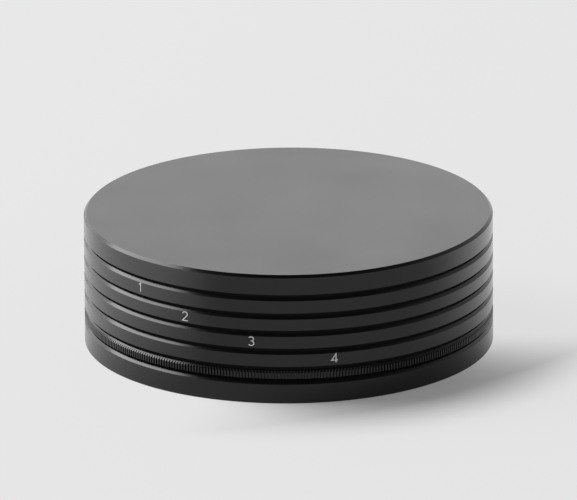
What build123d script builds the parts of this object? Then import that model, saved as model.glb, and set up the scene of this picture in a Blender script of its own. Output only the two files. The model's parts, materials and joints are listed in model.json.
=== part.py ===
"""Magnetic camera filter kit, stored as a stack.

From the bottom up: base cap, knurled adapter ring, clear UV filter, dark grey filter, light grey filter,
polariser (a turning frame in a seat ring) and top cap. Each piece has a rear spigot that drops into the
recess of the piece below, where its magnets pull on a steel keeper ring.

Millimetres. The origin is the centre of the base cap's underside, and +Z is up the stack's axis.
"""
from build123d import *
from math import cos, pi, radians, sin
import os

# The stack's outside
OUTER_R = 41.0            # radius of every frame and cap
BEVEL = 0.5               # bevel on a frame's upper rim
CAP_BEVEL = 0.55          # bevel on the cap's upper rim
EDGE_BREAK = 0.1          # small break on every lower rim
REVEAL = 0.70             # open line between two rims
BASE_REVEAL = 0.65        # open line between the base cap and the adapter

# Rim heights
BASE_H = 4.45
ADAPTER_H = 1.80
UV_H = 3.10
DARK_ND_H = 3.05
LIGHT_ND_H = 2.90
POLARISER_H = 3.15
TOP_CAP_H = 4.15

# How one piece seats in the next
RECESS_R = 38.90          # recess in the top of a frame
RECESS_DEPTH = 0.80       # recess above the keeper
SPIGOT_R = 38.80          # spigot under a frame
SEAT_AIR = 0.02           # air under a seated spigot
SPIGOT_LENGTH = REVEAL + RECESS_DEPTH - SEAT_AIR
APERTURE_R = 35.5         # clear opening of a filter

# Keeper rings and magnets
KEEPER_R = RECESS_R - 0.02
KEEPER_BORE_R = 36.3
KEEPER_T = 0.50
MAGNET_R = 1.0
MAGNET_T = 1.0
MAGNET_CIRCLE_R = 37.15
MAGNET_COUNT = 16
SMALL_MAGNET_R = 0.6      # the seat ring's wall is thin, so its magnets are smaller
SMALL_MAGNET_T = 0.8
SMALL_MAGNET_CIRCLE_R = 38.0
SMALL_MAGNET_COUNT = 24
POCKET_AIR = 0.03         # air round a magnet in its pocket

# Glass and its retaining ring
LEDGE_T = 1.30            # ledge that carries the glass, with the magnets below it
POCKET_R = 37.6
GLASS_R = 37.5
GLASS_T = 1.10
RETAINER_BORE_R = 36.0
THREAD_AIR = 0.02         # radial air at the retaining ring's thread
RETAINER_TOP_AIR = 0.05
NOTCH_WIDTH = 1.2         # two spanner notches in each retaining ring
NOTCH_DEPTH = 0.35

# Polariser: a turning sleeve inside the seat ring
SLEEVE_R = 37.20
SEAT_BORE_R = 37.25
SLEEVE_BORE_R = 36.6
SLEEVE_DEPTH = 1.05
SLEEVE_LEDGE_T = 0.30
SANDWICH_BORE_R = 35.6
SEAT_FLOOR_T = 0.36
SEAT_TOP_AIR = 0.05
SANDWICH_R = 36.5
SANDWICH_GLASS_T = 0.70
FILM_T = 0.10
SNAP_TOP = 0.13           # top of the snap ring's groove, below the frame's underside
SNAP_GROOVE_H = 0.34
SNAP_H = 0.24
SNAP_IN_R = 37.02
SNAP_OUT_R = 37.47
SNAP_GROOVE_IN_R = 36.92
SNAP_GROOVE_OUT_R = 37.50
SNAP_GAP = 3.0

# Adapter: knurl and lens thread M77 x 0.75
KNURL_TEETH = 400
KNURL_DEPTH = 0.35
KNURL_LAND = 0.46         # part of the pitch that is tooth at the outside
KNURL_FLOOR = 0.24        # part of the pitch that is groove at the bottom
ADAPTER_BEVEL = 0.55
ADAPTER_BORE_R = 36.0
LENS_THREAD_R = 38.5
THREAD_PITCH = 0.75
THREAD_DEPTH = 0.43
THREAD_TURNS = 4
BASE_THREAD_R = 38.6

# Caps
BASE_FLOOR_T = 1.2
STEP_Z = 2.0              # step in the base cap that the adapter's thread ends on
TOP_PLATE_T = 1.6
LINER_R = 35.3
LINER_T = 0.4

# Levels of the rims, bottom and top
ADAPTER_Z = BASE_H + BASE_REVEAL
UV_Z = ADAPTER_Z + ADAPTER_H + REVEAL
DARK_ND_Z = UV_Z + UV_H + REVEAL
LIGHT_ND_Z = DARK_ND_Z + DARK_ND_H + REVEAL
POLARISER_Z = LIGHT_ND_Z + LIGHT_ND_H + REVEAL
TOP_CAP_Z = POLARISER_Z + POLARISER_H + REVEAL
STACK_H = TOP_CAP_Z + TOP_CAP_H


def turned(points):
    """Solid of revolution about the stack's axis, from the (radius, height) points of its section."""
    outline = Polyline(*[(r, 0, z) for r, z in points], close=True)
    return revolve(make_face(outline), Axis.Z, 360)


def ring(bore_r, outer_r, bottom, top):
    """Plain ring."""
    return turned([(bore_r, bottom), (outer_r, bottom), (outer_r, top), (bore_r, top)])


def disc(radius, bottom, top):
    """Plain round disc."""
    return Pos(0, 0, (bottom + top) / 2) * Cylinder(radius, top - bottom)


def rods(radius, bottom, top, circle_r, count):
    """Equal upright rods on a circle, as a list."""
    rod = Pos(circle_r, 0, (bottom + top) / 2) * Cylinder(radius, top - bottom)
    return [Rot(0, 0, 360 * i / count) * rod for i in range(count)]


def drilled(body, radius, depth, bottom, circle_r, count):
    """The body with its magnet pockets, open at the bottom."""
    return body - rods(radius + POCKET_AIR, bottom, bottom + depth + SEAT_AIR, circle_r, count)


def magnets(bottom):
    """The magnets of a frame or cap whose spigot ends at this height."""
    low = bottom + SEAT_AIR
    return Compound(rods(MAGNET_R, low, low + MAGNET_T, MAGNET_CIRCLE_R, MAGNET_COUNT))


def keeper(rim_top):
    """Steel ring on the floor of a recess."""
    top = rim_top - RECESS_DEPTH
    return ring(KEEPER_BORE_R, KEEPER_R, top - KEEPER_T, top)


def retaining_ring(bore_r, outer_r, bottom, top):
    """Threaded ring with two spanner notches across its upper face."""
    notch = Box(2 * outer_r + 1, NOTCH_WIDTH, NOTCH_DEPTH)
    return ring(bore_r, outer_r, bottom, top) - Pos(0, 0, top - NOTCH_DEPTH / 2) * notch


def filter_frame(z, height):
    """Frame of a fixed filter: rim, recess, glass pocket, ledge and spigot."""
    top = z + height
    seat = z - SPIGOT_LENGTH
    shelf = top - RECESS_DEPTH - KEEPER_T
    body = turned([
        (APERTURE_R, seat), (SPIGOT_R, seat), (SPIGOT_R, z),
        (OUTER_R - EDGE_BREAK, z), (OUTER_R, z + EDGE_BREAK),
        (OUTER_R, top - BEVEL), (OUTER_R - BEVEL, top),
        (RECESS_R, top), (RECESS_R, shelf), (POCKET_R, shelf),
        (POCKET_R, seat + LEDGE_T), (APERTURE_R, seat + LEDGE_T),
    ])
    return drilled(body, MAGNET_R, MAGNET_T, seat, MAGNET_CIRCLE_R, MAGNET_COUNT)


def fixed_filter(name, z, height):
    """The five pieces of a fixed filter, by node name."""
    seat = z - SPIGOT_LENGTH
    glass_z = seat + LEDGE_T
    glass_top = glass_z + GLASS_T
    shelf = z + height - RECESS_DEPTH - KEEPER_T
    return {
        f"{name}_frame": filter_frame(z, height),
        f"{name}_glass": disc(GLASS_R, glass_z, glass_top),
        f"{name}_retaining_ring": retaining_ring(
            RETAINER_BORE_R, POCKET_R - THREAD_AIR, glass_top, shelf - RETAINER_TOP_AIR),
        f"{name}_keeper": keeper(z + height),
        f"{name}_magnets": magnets(seat),
    }


def polariser_seat_ring():
    """Rear ring of the polariser: floor, wall, snap-ring groove and magnet pockets."""
    z = POLARISER_Z
    seat = z - SPIGOT_LENGTH
    floor = seat + SEAT_FLOOR_T
    wall_top = z - SEAT_TOP_AIR
    groove_top = z - SNAP_TOP
    groove_floor = groove_top - SNAP_GROOVE_H
    body = turned([
        (SANDWICH_BORE_R, seat), (SPIGOT_R, seat), (SPIGOT_R, wall_top), (SEAT_BORE_R, wall_top),
        (SEAT_BORE_R, groove_top), (SNAP_GROOVE_OUT_R, groove_top),
        (SNAP_GROOVE_OUT_R, groove_floor), (SEAT_BORE_R, groove_floor),
        (SEAT_BORE_R, floor), (SANDWICH_BORE_R, floor),
    ])
    return drilled(body, SMALL_MAGNET_R, SMALL_MAGNET_T, seat, SMALL_MAGNET_CIRCLE_R, SMALL_MAGNET_COUNT)


def polariser_frame():
    """Turning frame: rim, recess, pocket for the glass sandwich, and the sleeve that runs in the seat ring."""
    z = POLARISER_Z
    top = z + POLARISER_H
    shelf = top - RECESS_DEPTH - KEEPER_T
    sleeve_end = z - SLEEVE_DEPTH
    groove_top = z - SNAP_TOP
    groove_floor = groove_top - SNAP_GROOVE_H
    return turned([
        (SANDWICH_BORE_R, sleeve_end), (SLEEVE_R, sleeve_end),
        (SLEEVE_R, groove_floor), (SNAP_GROOVE_IN_R, groove_floor),
        (SNAP_GROOVE_IN_R, groove_top), (SLEEVE_R, groove_top), (SLEEVE_R, z),
        (OUTER_R - EDGE_BREAK, z), (OUTER_R, z + EDGE_BREAK),
        (OUTER_R, top - BEVEL), (OUTER_R - BEVEL, top),
        (RECESS_R, top), (RECESS_R, shelf), (SLEEVE_BORE_R, shelf),
        (SLEEVE_BORE_R, sleeve_end + SLEEVE_LEDGE_T), (SANDWICH_BORE_R, sleeve_end + SLEEVE_LEDGE_T),
    ])


def polariser():
    """The nine pieces of the polariser, by node name."""
    z = POLARISER_Z
    seat = z - SPIGOT_LENGTH
    magnet_z = seat + SEAT_AIR
    rear_z = z - SLEEVE_DEPTH + SLEEVE_LEDGE_T
    film_z = rear_z + SANDWICH_GLASS_T
    front_z = film_z + FILM_T
    front_top = front_z + SANDWICH_GLASS_T
    shelf = z + POLARISER_H - RECESS_DEPTH - KEEPER_T
    snap_middle = z - SNAP_TOP - SNAP_GROOVE_H / 2
    snap = ring(SNAP_IN_R, SNAP_OUT_R, snap_middle - SNAP_H / 2, snap_middle + SNAP_H / 2)
    snap_cut = Pos((SNAP_IN_R + SNAP_OUT_R) / 2, 0, snap_middle) * Box(2, SNAP_GAP, 2)
    return {
        "polariser_seat_ring": polariser_seat_ring(),
        "polariser_magnets": Compound(rods(
            SMALL_MAGNET_R, magnet_z, magnet_z + SMALL_MAGNET_T, SMALL_MAGNET_CIRCLE_R, SMALL_MAGNET_COUNT)),
        "polariser_snap_ring": snap - snap_cut,
        "polariser_frame": polariser_frame(),
        "polariser_rear_glass": disc(SANDWICH_R, rear_z, film_z),
        "polariser_film": disc(SANDWICH_R, film_z, front_z),
        "polariser_front_glass": disc(SANDWICH_R, front_z, front_top),
        "polariser_retaining_ring": retaining_ring(
            SANDWICH_BORE_R, SLEEVE_BORE_R - THREAD_AIR, front_top, shelf - RETAINER_TOP_AIR),
        "polariser_keeper": keeper(z + POLARISER_H),
    }


def thread_points(crest_r, root_r, bottom):
    """Section of a ridged thread, from the bottom up."""
    points = [(crest_r, bottom)]
    for i in range(THREAD_TURNS):
        points.append((root_r, bottom + (i + 0.5) * THREAD_PITCH))
        points.append((crest_r, bottom + (i + 1) * THREAD_PITCH))
    return points


def knurl_prism(height):
    """Upright prism with the knurl's toothed outline."""
    pitch = 2 * pi / KNURL_TEETH
    root_r = OUTER_R - KNURL_DEPTH
    corners = []
    for i in range(KNURL_TEETH):
        for radius, offset in (
            (OUTER_R + 0.01, -KNURL_LAND / 2), (OUTER_R + 0.01, KNURL_LAND / 2),
            (root_r, 0.5 - KNURL_FLOOR / 2), (root_r, 0.5 + KNURL_FLOOR / 2),
        ):
            angle = (i + offset) * pitch
            corners.append((radius * cos(angle), radius * sin(angle)))
    return extrude(make_face(Polyline(*corners, close=True)), height)


def adapter_ring():
    """Adapter: lens thread below, knurled rim, and the recess that takes the first filter."""
    z = ADAPTER_Z
    top = z + ADAPTER_H
    shelf = top - RECESS_DEPTH - KEEPER_T
    end = STEP_Z + SEAT_AIR
    thread = thread_points(LENS_THREAD_R, LENS_THREAD_R - THREAD_DEPTH, end)
    body = turned([(ADAPTER_BORE_R, end)] + thread + [
        (LENS_THREAD_R, z), (OUTER_R - EDGE_BREAK, z), (OUTER_R, z + EDGE_BREAK),
        (OUTER_R, top - ADAPTER_BEVEL), (OUTER_R - ADAPTER_BEVEL, top),
        (RECESS_R, top), (RECESS_R, shelf), (ADAPTER_BORE_R, shelf),
    ])
    return body & knurl_prism(STACK_H)


def base_cap():
    """Bottom cap: floor with a place for the liner, step for the adapter, and threaded wall."""
    thread = thread_points(BASE_THREAD_R, BASE_THREAD_R + THREAD_DEPTH, STEP_Z)
    return turned([
        (0, 0), (OUTER_R - EDGE_BREAK, 0), (OUTER_R, EDGE_BREAK),
        (OUTER_R, BASE_H - BEVEL), (OUTER_R - BEVEL, BASE_H), (BASE_THREAD_R, BASE_H),
        *reversed([(r, z) for r, z in thread if z < BASE_H - EDGE_BREAK]),
        (APERTURE_R, STEP_Z), (APERTURE_R, BASE_FLOOR_T), (0, BASE_FLOOR_T),
    ])


def top_cap():
    """Top cap: plate, rim and the spigot with its magnet pockets."""
    seat = TOP_CAP_Z - SPIGOT_LENGTH
    ceiling = STACK_H - TOP_PLATE_T
    body = turned([
        (0, ceiling), (APERTURE_R, ceiling), (APERTURE_R, seat), (SPIGOT_R, seat), (SPIGOT_R, TOP_CAP_Z),
        (OUTER_R - EDGE_BREAK, TOP_CAP_Z), (OUTER_R, TOP_CAP_Z + EDGE_BREAK),
        (OUTER_R, STACK_H - CAP_BEVEL), (OUTER_R - CAP_BEVEL, STACK_H), (0, STACK_H),
    ])
    return drilled(body, MAGNET_R, MAGNET_T, seat, MAGNET_CIRCLE_R, MAGNET_COUNT)


def all_pieces():
    """Every piece of the kit, by node name."""
    ceiling = STACK_H - TOP_PLATE_T
    pieces = {
        "base_cap": base_cap(),
        "base_liner": disc(LINER_R, BASE_FLOOR_T, BASE_FLOOR_T + LINER_T),
        "adapter_ring": adapter_ring(),
        "adapter_keeper": keeper(ADAPTER_Z + ADAPTER_H),
    }
    pieces.update(fixed_filter("uv", UV_Z, UV_H))
    pieces.update(fixed_filter("dark_nd", DARK_ND_Z, DARK_ND_H))
    pieces.update(fixed_filter("light_nd", LIGHT_ND_Z, LIGHT_ND_H))
    pieces.update(polariser())
    pieces["top_cap"] = top_cap()
    pieces["top_cap_magnets"] = magnets(TOP_CAP_Z - SPIGOT_LENGTH)
    pieces["top_cap_liner"] = disc(LINER_R, ceiling - LINER_T, ceiling)
    return pieces


os.makedirs("parts", exist_ok=True)
for node, solid in all_pieces().items():
    solid.label = node
    export_step(solid, f"parts/{node}.step")
print(f"stack height {STACK_H:.2f}")
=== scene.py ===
"""Looks of the stacked magnetic camera filter kit: finishes, printed marks, floor, light and camera."""
import bpy
import json
import math
from mathutils import Matrix, Vector


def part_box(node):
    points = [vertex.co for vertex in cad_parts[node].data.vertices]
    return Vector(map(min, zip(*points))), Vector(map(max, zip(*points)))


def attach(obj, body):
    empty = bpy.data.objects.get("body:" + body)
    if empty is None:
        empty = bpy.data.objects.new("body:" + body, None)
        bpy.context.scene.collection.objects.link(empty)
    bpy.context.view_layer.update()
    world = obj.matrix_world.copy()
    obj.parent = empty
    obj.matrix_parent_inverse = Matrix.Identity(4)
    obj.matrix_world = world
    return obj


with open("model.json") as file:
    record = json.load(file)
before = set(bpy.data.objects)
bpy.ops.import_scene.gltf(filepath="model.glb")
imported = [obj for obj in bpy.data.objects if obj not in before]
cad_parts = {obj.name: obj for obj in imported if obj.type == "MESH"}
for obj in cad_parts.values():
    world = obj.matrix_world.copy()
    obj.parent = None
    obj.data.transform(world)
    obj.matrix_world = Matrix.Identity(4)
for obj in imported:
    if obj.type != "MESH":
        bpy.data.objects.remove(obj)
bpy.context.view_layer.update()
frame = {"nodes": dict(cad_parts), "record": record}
MM = 0.001

# ---------------------------------------------------------------- place from the frame
OUTER_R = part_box("base_cap")[1].x


# ---------------------------------------------------------------- node helpers
def new_material(name):
    """Empty node material with its output; returns the material, its tree and the output node."""
    material = bpy.data.materials.new(name)
    material.use_nodes = True
    tree = material.node_tree
    tree.nodes.clear()
    output = tree.nodes.new("ShaderNodeOutputMaterial")
    return material, tree, output


def principled(tree, output, **settings):
    shader = tree.nodes.new("ShaderNodeBsdfPrincipled")
    for key, value in settings.items():
        shader.inputs[key.replace("_", " ")].default_value = value
    tree.links.new(shader.outputs[0], output.inputs["Surface"])
    return shader


def grey(value):
    return (value, value, value, 1.0)


def object_noise(tree, scale, detail=3.0, stretch=(1.0, 1.0, 1.0)):
    """Noise fixed to the piece, with a scale in cycles per metre."""
    coords = tree.nodes.new("ShaderNodeTexCoord")
    mapping = tree.nodes.new("ShaderNodeMapping")
    mapping.inputs["Scale"].default_value = stretch
    noise = tree.nodes.new("ShaderNodeTexNoise")
    noise.inputs["Scale"].default_value = scale
    noise.inputs["Detail"].default_value = detail
    tree.links.new(coords.outputs["Object"], mapping.inputs["Vector"])
    tree.links.new(mapping.outputs["Vector"], noise.inputs["Vector"])
    return noise.outputs["Fac"]


def to_range(tree, value, low, high, source=(0.3, 0.7), ease="LINEAR"):
    """Maps a value to a range and holds it inside."""
    node = tree.nodes.new("ShaderNodeMapRange")
    node.interpolation_type = ease
    node.inputs["From Min"].default_value = source[0]
    node.inputs["From Max"].default_value = source[1]
    node.inputs["To Min"].default_value = low
    node.inputs["To Max"].default_value = high
    tree.links.new(value, node.inputs["Value"])
    return node.outputs["Result"]


def combined(tree, operation, first, second):
    """Result of a Math node on two linked values."""
    node = tree.nodes.new("ShaderNodeMath")
    node.operation = operation
    tree.links.new(first, node.inputs[0])
    tree.links.new(second, node.inputs[1])
    return node.outputs[0]


def bumped(tree, shader, height, strength, distance):
    bump = tree.nodes.new("ShaderNodeBump")
    bump.inputs["Strength"].default_value = strength
    bump.inputs["Distance"].default_value = distance
    tree.links.new(height, bump.inputs["Height"])
    tree.links.new(bump.outputs["Normal"], shader.inputs["Normal"])


# ---------------------------------------------------------------- materials
def wandering(tree, noise, colour, spread):
    """Colour that strays from one colour by that share either way."""
    mix = tree.nodes.new("ShaderNodeMix")
    mix.data_type = "RGBA"
    mix.inputs["A"].default_value = (*(level * (1.0 - spread) for level in colour), 1.0)
    mix.inputs["B"].default_value = (*(level * (1.0 + spread) for level in colour), 1.0)
    tree.links.new(noise, mix.inputs["Factor"])
    return mix.outputs["Result"]


def tinted(tree, shader, noise, colour, spread):
    tree.links.new(wandering(tree, noise, colour, spread), shader.inputs["Base Color"])


# Lengths are in metres, and noise scales in cycles per metre.
EDGE_WEAR_SHADE = 0.014
EDGE_WEAR_WIDTH = 0.12 * MM
EDGE_TURN = (0.92, 0.995)
WORN_PATCHES = (0.45, 0.65)

ANODISED_IOR = 1.45
ANODISED_SPREAD = 0.2
ANODISED_RELIEF = 0.02 * MM
FINE_SCALE = 9000.0
BROAD_SCALE = 60.0
ROUGHNESS_STRAY = 0.015
WALL_GLOSS = 1.0
CUT_GLOSS = 0.5
# Upward part of the normal, from a turned wall to a cut bevel, and from a bevel to a flat face.
WALL_TO_CUT = (0.3, 0.6)
CUT_TO_FACE = (0.85, 0.95)


def edge_wear(tree, patches):
    """1 on the sharpest edges where the patchy noise is high, 0 elsewhere."""
    bevel = tree.nodes.new("ShaderNodeBevel")
    bevel.samples = 4
    bevel.inputs["Radius"].default_value = EDGE_WEAR_WIDTH
    geometry = tree.nodes.new("ShaderNodeNewGeometry")
    turned = tree.nodes.new("ShaderNodeVectorMath")
    turned.operation = "DOT_PRODUCT"
    tree.links.new(bevel.outputs["Normal"], turned.inputs[0])
    tree.links.new(geometry.outputs["Normal"], turned.inputs[1])
    edge = to_range(tree, turned.outputs["Value"], 1.0, 0.0, source=EDGE_TURN)
    return combined(tree, "MULTIPLY", edge, to_range(tree, patches, 0.0, 1.0, source=WORN_PATCHES))


def anodised(name, colour, wall_rough, cut_rough, face_rough, grain):
    """Black anodised aluminium with a fine grain. Walls, cut bevels and flat faces differ in their shine."""
    material, tree, output = new_material(name)
    shader = principled(tree, output, IOR=ANODISED_IOR, Sheen_Weight=0.06, Sheen_Roughness=0.3)
    fine = object_noise(tree, FINE_SCALE, 2.0)
    broad = object_noise(tree, BROAD_SCALE, 3.0)
    body = wandering(tree, fine, colour, ANODISED_SPREAD)
    worn = tree.nodes.new("ShaderNodeMix")
    worn.data_type = "RGBA"
    worn.inputs["B"].default_value = grey(EDGE_WEAR_SHADE)
    tree.links.new(edge_wear(tree, broad), worn.inputs["Factor"])
    tree.links.new(body, worn.inputs["A"])
    tree.links.new(worn.outputs["Result"], shader.inputs["Base Color"])
    geometry = tree.nodes.new("ShaderNodeNewGeometry")
    split = tree.nodes.new("ShaderNodeSeparateXYZ")
    tree.links.new(geometry.outputs["True Normal"], split.inputs[0])
    upward = split.outputs["Z"]
    turned_or_cut = to_range(tree, upward, wall_rough, cut_rough, source=WALL_TO_CUT)
    faced = to_range(tree, upward, 0.0, face_rough - cut_rough, source=CUT_TO_FACE)
    stray = to_range(tree, broad, -ROUGHNESS_STRAY, ROUGHNESS_STRAY)
    rough = combined(tree, "ADD", combined(tree, "ADD", turned_or_cut, faced), stray)
    tree.links.new(rough, shader.inputs["Roughness"])
    gloss = to_range(tree, upward, WALL_GLOSS, CUT_GLOSS, source=WALL_TO_CUT)
    tree.links.new(gloss, shader.inputs["Specular IOR Level"])
    bumped(tree, shader, fine, grain, ANODISED_RELIEF)
    return material


METAL_RELIEF = 0.01 * MM
NAP_RELIEF = 0.15 * MM
INK_RELIEF = 0.01 * MM
GLASS_IOR = 1.52
COATING_IOR = 1.38


def metal(name, colour, low_rough, high_rough, stretch, grain=0.15):
    """Bare or plated metal with fine drawn or rolled streaks."""
    material, tree, output = new_material(name)
    shader = principled(tree, output, Metallic=1.0)
    streaks = object_noise(tree, 2500.0, 4.0, stretch)
    tinted(tree, shader, object_noise(tree, 300.0), colour, 0.08)
    tree.links.new(to_range(tree, streaks, low_rough, high_rough), shader.inputs["Roughness"])
    bumped(tree, shader, streaks, grain, METAL_RELIEF)
    return material


def coated_glass(name, colour, coating):
    """Polished filter glass. The coating, in nanometres, tints its reflections."""
    material, tree, output = new_material(name)
    shader = principled(
        tree,
        output,
        IOR=GLASS_IOR,
        Transmission_Weight=1.0,
        Thin_Film_Thickness=coating,
        Thin_Film_IOR=COATING_IOR,
    )
    tinted(tree, shader, object_noise(tree, 40.0), colour, 0.01)
    tree.links.new(to_range(tree, object_noise(tree, 150.0), 0.0, 0.012), shader.inputs["Roughness"])
    return material


def microfibre(name, colour):
    """Black suede-like lining with a short nap."""
    material, tree, output = new_material(name)
    shader = principled(tree, output, Specular_IOR_Level=0.2, Sheen_Weight=0.35, Sheen_Roughness=0.5)
    nap = object_noise(tree, 4500.0, 6.0)
    tinted(tree, shader, object_noise(tree, 250.0, 4.0), colour, 0.3)
    tree.links.new(to_range(tree, nap, 0.8, 1.0), shader.inputs["Roughness"])
    bumped(tree, shader, nap, 0.6, NAP_RELIEF)
    return material


def print_ink(name, shade):
    """Matt pale ink, laid a little unevenly."""
    material, tree, output = new_material(name)
    shader = principled(tree, output, Specular_IOR_Level=0.3)
    speckle = object_noise(tree, 12000.0, 2.0)
    tinted(tree, shader, speckle, (shade, shade, shade), 0.08)
    tree.links.new(to_range(tree, speckle, 0.5, 0.65), shader.inputs["Roughness"])
    bumped(tree, shader, speckle, 0.1, INK_RELIEF)
    return material


RIM = anodised("black_anodised_rim", (0.002, 0.002, 0.002), 0.22, 0.20, 0.26, 0.1)
CAP = anodised("black_anodised_cap", (0.002, 0.002, 0.002), 0.22, 0.20, 0.36, 0.3)
CLEAR = coated_glass("clear_coated_glass", (0.985, 0.995, 0.99), 110.0)
DARK = coated_glass("ten_stop_glass", (0.012, 0.012, 0.013), 280.0)
GREY = coated_glass("three_stop_glass", (0.34, 0.34, 0.35), 240.0)
POLARISER = coated_glass("polariser_glass", (0.93, 0.96, 0.93), 150.0)
FILM = coated_glass("polarising_film", (0.42, 0.43, 0.40), 0.0)
BLACK_STEEL = metal("black_plated_steel", (0.10, 0.10, 0.105), 0.32, 0.44, (1.0, 1.0, 6.0))
NICKEL = metal("nickel_plate", (0.66, 0.63, 0.58), 0.16, 0.30, (1.0, 1.0, 4.0), 0.1)
SUEDE = microfibre("black_microfibre", (0.010, 0.010, 0.011))
INK = print_ink("grey_print", 0.72)

SLOT_FINISHES = {
    "black_anodised": RIM,
    "cap_anodised": CAP,
    "clear_glass": CLEAR,
    "dark_glass": DARK,
    "grey_glass": GREY,
    "polariser_glass": POLARISER,
    "polariser_film": FILM,
    "steel": BLACK_STEEL,
    "magnet": NICKEL,
    "liner": SUEDE,
}
for part in frame["record"]["subparts"]:
    mesh = frame["nodes"][part["node"]].data
    mesh.materials.clear()
    mesh.materials.append(SLOT_FINISHES[part["material_slot"]])

# ---------------------------------------------------------------- printed numerals
PRINT_HEIGHT = 2.0 * MM
STROKE = 0.19 * MM
PRINT_PROUD = 0.012 * MM
PRINT_SUNK = 0.004 * MM
CURVE_STEPS = 14
MITRE_LIMIT = 0.35


def arc(x, y, radius_x, radius_y, start, end):
    """Points on an ellipse, angles in degrees anticlockwise from +x."""
    angles = [math.radians(start + (end - start) * i / CURVE_STEPS) for i in range(CURVE_STEPS + 1)]
    return [(x + radius_x * math.cos(angle), y + radius_y * math.sin(angle)) for angle in angles]


# Strokes in units of the cap height, x from the middle of the numeral, y from its foot.
NUMERALS = {
    "1": [[(-0.17, 0.80), (0.05, 1.0), (0.05, 0.0)]],
    "2": [arc(0.0, 0.73, 0.27, 0.27, 165, -38) + [(-0.28, 0.0), (0.30, 0.0)]],
    "3": [arc(0.0, 0.76, 0.24, 0.24, 150, -90) + arc(0.0, 0.26, 0.28, 0.26, 90, -150)[1:]],
    "4": [[(0.32, 0.27), (-0.32, 0.27), (0.13, 1.0), (0.13, 0.0)]],
}


def ribbon(points, width):
    """Left and right edges of a stroke of that width along the points, mitred at its corners."""
    left, right = [], []
    for i, point in enumerate(points):
        here = Vector(point)
        before = (here - Vector(points[i - 1])).normalized() if i else None
        after = (Vector(points[i + 1]) - here).normalized() if i + 1 < len(points) else None
        heading = ((before or after) + (after or before)).normalized()
        side = Vector((-heading.y, heading.x))
        lean = abs(heading.dot(after or before))
        half = side * width / 2 / max(lean, MITRE_LIMIT)
        left.append(here + half)
        right.append(here - half)
    return left, right


def numeral(name, text, bearing, body, rim):
    """Numeral printed on the middle of a rim's outer wall. Bearing is in degrees, 0 at the front."""
    low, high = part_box(rim)
    foot = (low.z + high.z) / 2 - PRINT_HEIGHT / 2 + RIM_MIDDLE_SHIFT[rim]
    centre = math.radians(bearing)
    vertices, faces = [], []
    for points in NUMERALS[text]:
        scaled = [(x * PRINT_HEIGHT, y * (PRINT_HEIGHT - STROKE) + STROKE / 2) for x, y in points]
        left, right = ribbon(scaled, STROKE)
        start = len(vertices)
        for pair in zip(left, right):
            for radius in (OUTER_R - PRINT_SUNK, OUTER_R + PRINT_PROUD):
                for corner in pair:
                    turn = centre + corner.x / OUTER_R
                    vertices.append((radius * math.sin(turn), -radius * math.cos(turn), foot + corner.y))
        count = len(scaled)
        for i in range(count - 1):
            a, b = start + 4 * i, start + 4 * (i + 1)
            for p, q in ((0, 1), (1, 3), (3, 2), (2, 0)):
                faces.append((a + p, a + q, b + q, b + p))
        end = start + 4 * (count - 1)
        faces.append((start, start + 2, start + 3, start + 1))
        faces.append((end, end + 1, end + 3, end + 2))
    mesh = bpy.data.meshes.new(name)
    mesh.from_pydata(vertices, [], faces)
    mesh.update()
    mesh.materials.append(INK)
    piece = bpy.data.objects.new(name, mesh)
    bpy.context.scene.collection.objects.link(piece)
    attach(piece, body)


# The frames' boxes take in their spigots, so each numeral is raised to the middle of the wall that shows, whose
# lower and upper heights are given in mm.
RIM_MIDDLE_SHIFT = {}
for rim, (wall_low, wall_high) in {
    "uv_frame": (7.60, 10.70),
    "dark_nd_frame": (11.40, 14.45),
    "light_nd_frame": (15.15, 18.05),
    "polariser_frame": (18.75, 21.90),
}.items():
    low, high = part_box(rim)
    RIM_MIDDLE_SHIFT[rim] = (wall_low + wall_high) / 2 * MM - (low.z + high.z) / 2

numeral("print_1", "1", -46.0, "polariser", "polariser_frame")
numeral("print_2", "2", -30.2, "light_nd", "light_nd_frame")
numeral("print_3", "3", -10.6, "dark_nd", "dark_nd_frame")
numeral("print_4", "4", 12.7, "uv", "uv_frame")

# ---------------------------------------------------------------- floor
FLOOR_SIZE = 8.0
FLOOR_SHADE = 0.82
FLOOR_GAP = 0.02 * MM
SHADOW_SIDE = (0.55, -0.83, 0.0)
BACK_SIDE = (0.0, 1.0, 0.0)
KEY_SIDE = (-0.8, 0.6, 0.0)
# Painted shade of the floor in front, as seen only in reflections.
MIRRORED_FRONT = 0.36
WHITE = 1.0
# Painted reflection: stretches in metres over which the mirrored floor rises to white, to the back and to the key
# light's side.
BACK_RISE = (-0.05, 0.04)
KEY_RISE = (-0.005, 0.045)
# The floor's painted glow grows over this distance from the middle, in metres, and with the bearing away from the
# shadow, which is given by its cosine. It paints light over the cast shadow except near the object on the
# shadow's side.
GLOW_RISE = (0.042, 0.066)
SHADOW_BEARINGS = (0.5, 1.0)
GLOW = 0.85
GLOW_IN_SHADOW = 0.1


def along(tree, place, direction):
    """The part of a vector that points in that direction."""
    dot = tree.nodes.new("ShaderNodeVectorMath")
    dot.operation = "DOT_PRODUCT"
    dot.inputs[1].default_value = direction
    tree.links.new(place, dot.inputs[0])
    return dot.outputs["Value"]


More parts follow.
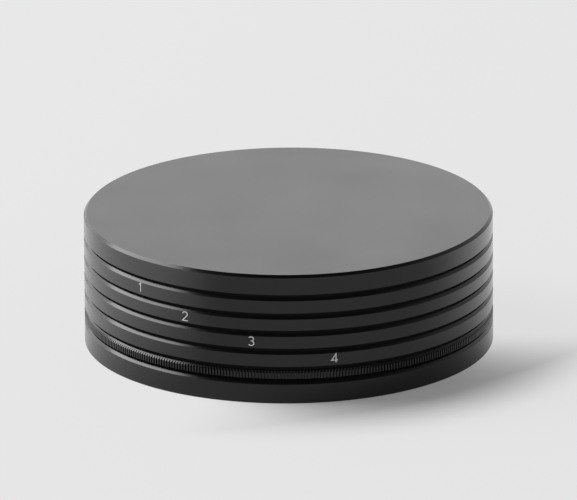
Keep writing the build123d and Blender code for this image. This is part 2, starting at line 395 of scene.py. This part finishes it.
def floor_material():
    """Matt pale floor, clear from below. A painted glow in its own shade evens it out away from the shadow,
    covering the cast shadow except near the object on the shadow's side.

    Reflections show it with a painted shade, dim in front and white behind and on the key light's side. Its shade
    is never above white.
    Known fault: the glow isn't held off under the object, so an underside mirrors it as a grey fan.
    """
    material, tree, output = new_material("pale_floor")
    path = tree.nodes.new("ShaderNodeLightPath")
    place = tree.nodes.new("ShaderNodeTexCoord").outputs["Object"]
    # Painted reflection: in glossy rays the floor's shade is graded from dim in front to white behind and toward
    # the key light, standing in for light falling on it.
    backward = along(tree, place, BACK_SIDE)
    front_to_back = to_range(tree, backward, MIRRORED_FRONT, WHITE, source=BACK_RISE, ease="SMOOTHSTEP")
    key_side = to_range(tree, along(tree, place, KEY_SIDE), MIRRORED_FRONT, WHITE, source=KEY_RISE)
    shade = tree.nodes.new("ShaderNodeMix")
    shade.data_type = "FLOAT"
    shade.inputs["A"].default_value = FLOOR_SHADE
    through_glass = path.outputs["Is Transmission Ray"]
    in_gloss = combined(tree, "GREATER_THAN", path.outputs["Is Glossy Ray"], through_glass)
    tree.links.new(in_gloss, shade.inputs["Factor"])
    tree.links.new(combined(tree, "MAXIMUM", front_to_back, key_side), shade.inputs["B"])
    matt = tree.nodes.new("ShaderNodeBsdfDiffuse")
    glow = tree.nodes.new("ShaderNodeEmission")
    tree.links.new(shade.outputs["Result"], matt.inputs["Color"])
    tree.links.new(shade.outputs["Result"], glow.inputs["Color"])

    # Painted light: the glow lifts the floor to its own even shade far from the object and away from the shadow's
    # bearing, covering the cast shadow there.
    reach = tree.nodes.new("ShaderNodeVectorMath")
    reach.operation = "LENGTH"
    tree.links.new(place, reach.inputs[0])
    bearing = tree.nodes.new("ShaderNodeVectorMath")
    bearing.operation = "NORMALIZE"
    tree.links.new(place, bearing.inputs[0])
    toward_shadow = along(tree, bearing.outputs["Vector"], SHADOW_SIDE)
    far = to_range(tree, reach.outputs["Value"], 0.0, GLOW, source=GLOW_RISE, ease="SMOOTHSTEP")
    shadow_glow = (GLOW, GLOW_IN_SHADOW)
    painted_glow_by_bearing = to_range(tree, toward_shadow, *shadow_glow, source=SHADOW_BEARINGS, ease="SMOOTHSTEP")
    painted_glow_amount = combined(tree, "MAXIMUM", far, painted_glow_by_bearing)
    direct = combined(tree, "MAXIMUM", path.outputs["Is Camera Ray"], through_glass)
    seen = combined(tree, "MAXIMUM", direct, in_gloss)
    surface = tree.nodes.new("ShaderNodeMixShader")
    tree.links.new(combined(tree, "MULTIPLY", seen, painted_glow_amount), surface.inputs[0])
    tree.links.new(matt.outputs[0], surface.inputs[1])
    tree.links.new(glow.outputs[0], surface.inputs[2])

    geometry = tree.nodes.new("ShaderNodeNewGeometry")
    sided = tree.nodes.new("ShaderNodeMixShader")
    tree.links.new(geometry.outputs["Backfacing"], sided.inputs[0])
    tree.links.new(surface.outputs[0], sided.inputs[1])
    tree.links.new(tree.nodes.new("ShaderNodeBsdfTransparent").outputs[0], sided.inputs[2])
    tree.links.new(sided.outputs[0], output.inputs["Surface"])
    return material


bpy.ops.mesh.primitive_plane_add(size=FLOOR_SIZE, location=(0, 0, -FLOOR_GAP))
floor = bpy.context.object
floor.name = "floor"
floor.data.materials.append(floor_material())


# ---------------------------------------------------------------- light
def softbox(name, azimuth, elevation, distance, width, height, radiance):
    """Area light aimed at the stack's foot. Azimuth 0 is behind it (+Y), positive is to the right (+X)."""
    light = bpy.data.lights.new(name, "AREA")
    light.shape = "RECTANGLE"
    light.size = width
    light.size_y = height
    light.energy = radiance * math.pi * width * height
    a, e = math.radians(azimuth), math.radians(elevation)
    place = Vector((math.sin(a) * math.cos(e), math.cos(a) * math.cos(e), math.sin(e))) * distance
    lamp = bpy.data.objects.new(name, light)
    lamp.location = place
    lamp.rotation_euler = (-place).to_track_quat("-Z", "Y").to_euler()
    lamp.visible_camera = False
    bpy.context.scene.collection.objects.link(lamp)


softbox("key_left", -74, 40, 1.0, 0.66, 0.54, 6.5)
softbox("left_wing", -42, 20, 1.2, 0.50, 0.52, 1.3)
softbox("back_panel", -4, 18, 1.6, 1.3, 0.8, 1.27)


# Brightness by the upward part of the direction, where 0 is the horizon and 1 is straight up.
WORLD_ENDS = (1.0, 0.03)
WORLD_STEPS = (
    (0.16, 1.0),
    (0.25, 0.75),
    (0.37, 0.62),
    (0.47, 0.47),
    (0.61, 0.32),
    (0.73, 0.19),
    (0.84, 0.08),
)


def studio_world():
    """Pale walls that darken towards a nearly black ceiling."""
    world = bpy.data.worlds.new("studio")
    world.use_nodes = True
    tree = world.node_tree
    background = tree.nodes["Background"]
    coords = tree.nodes.new("ShaderNodeTexCoord")
    split = tree.nodes.new("ShaderNodeSeparateXYZ")
    tree.links.new(coords.outputs["Generated"], split.inputs[0])
    ramp = tree.nodes.new("ShaderNodeValToRGB")
    for element, level in zip(ramp.color_ramp.elements, WORLD_ENDS):
        element.color = grey(level)
    for place, level in WORLD_STEPS:
        ramp.color_ramp.elements.new(place).color = grey(level)
    tree.links.new(split.outputs["Z"], ramp.inputs["Fac"])
    tree.links.new(ramp.outputs["Color"], background.inputs["Color"])
    return world


bpy.context.scene.world = studio_world()

# ---------------------------------------------------------------- camera
CAMERA_DISTANCE = 2.9
CAMERA_ELEVATION = 18.55
CAMERA_ROLL = 0.4
AIM_HEIGHT = 18.38 * MM
LENS = 902.2

camera_data = bpy.data.cameras.new("camera")
camera_data.sensor_width = 36.0
camera_data.lens = LENS
camera_data.clip_start = 0.1
camera_data.clip_end = 20.0
camera = bpy.data.objects.new("camera", camera_data)
bpy.context.scene.collection.objects.link(camera)
tilt = math.radians(CAMERA_ELEVATION)
back = Vector((0.0, -math.cos(tilt), math.sin(tilt)))
look = (-back).to_track_quat("-Z", "Y").to_matrix().to_4x4()
roll = Matrix.Rotation(math.radians(-CAMERA_ROLL), 4, "Z")
camera.matrix_world = Matrix.Translation(Vector((0, 0, AIM_HEIGHT)) + back * CAMERA_DISTANCE) @ look @ roll
bpy.context.scene.camera = camera

bpy.context.scene.view_settings.view_transform = "Standard"
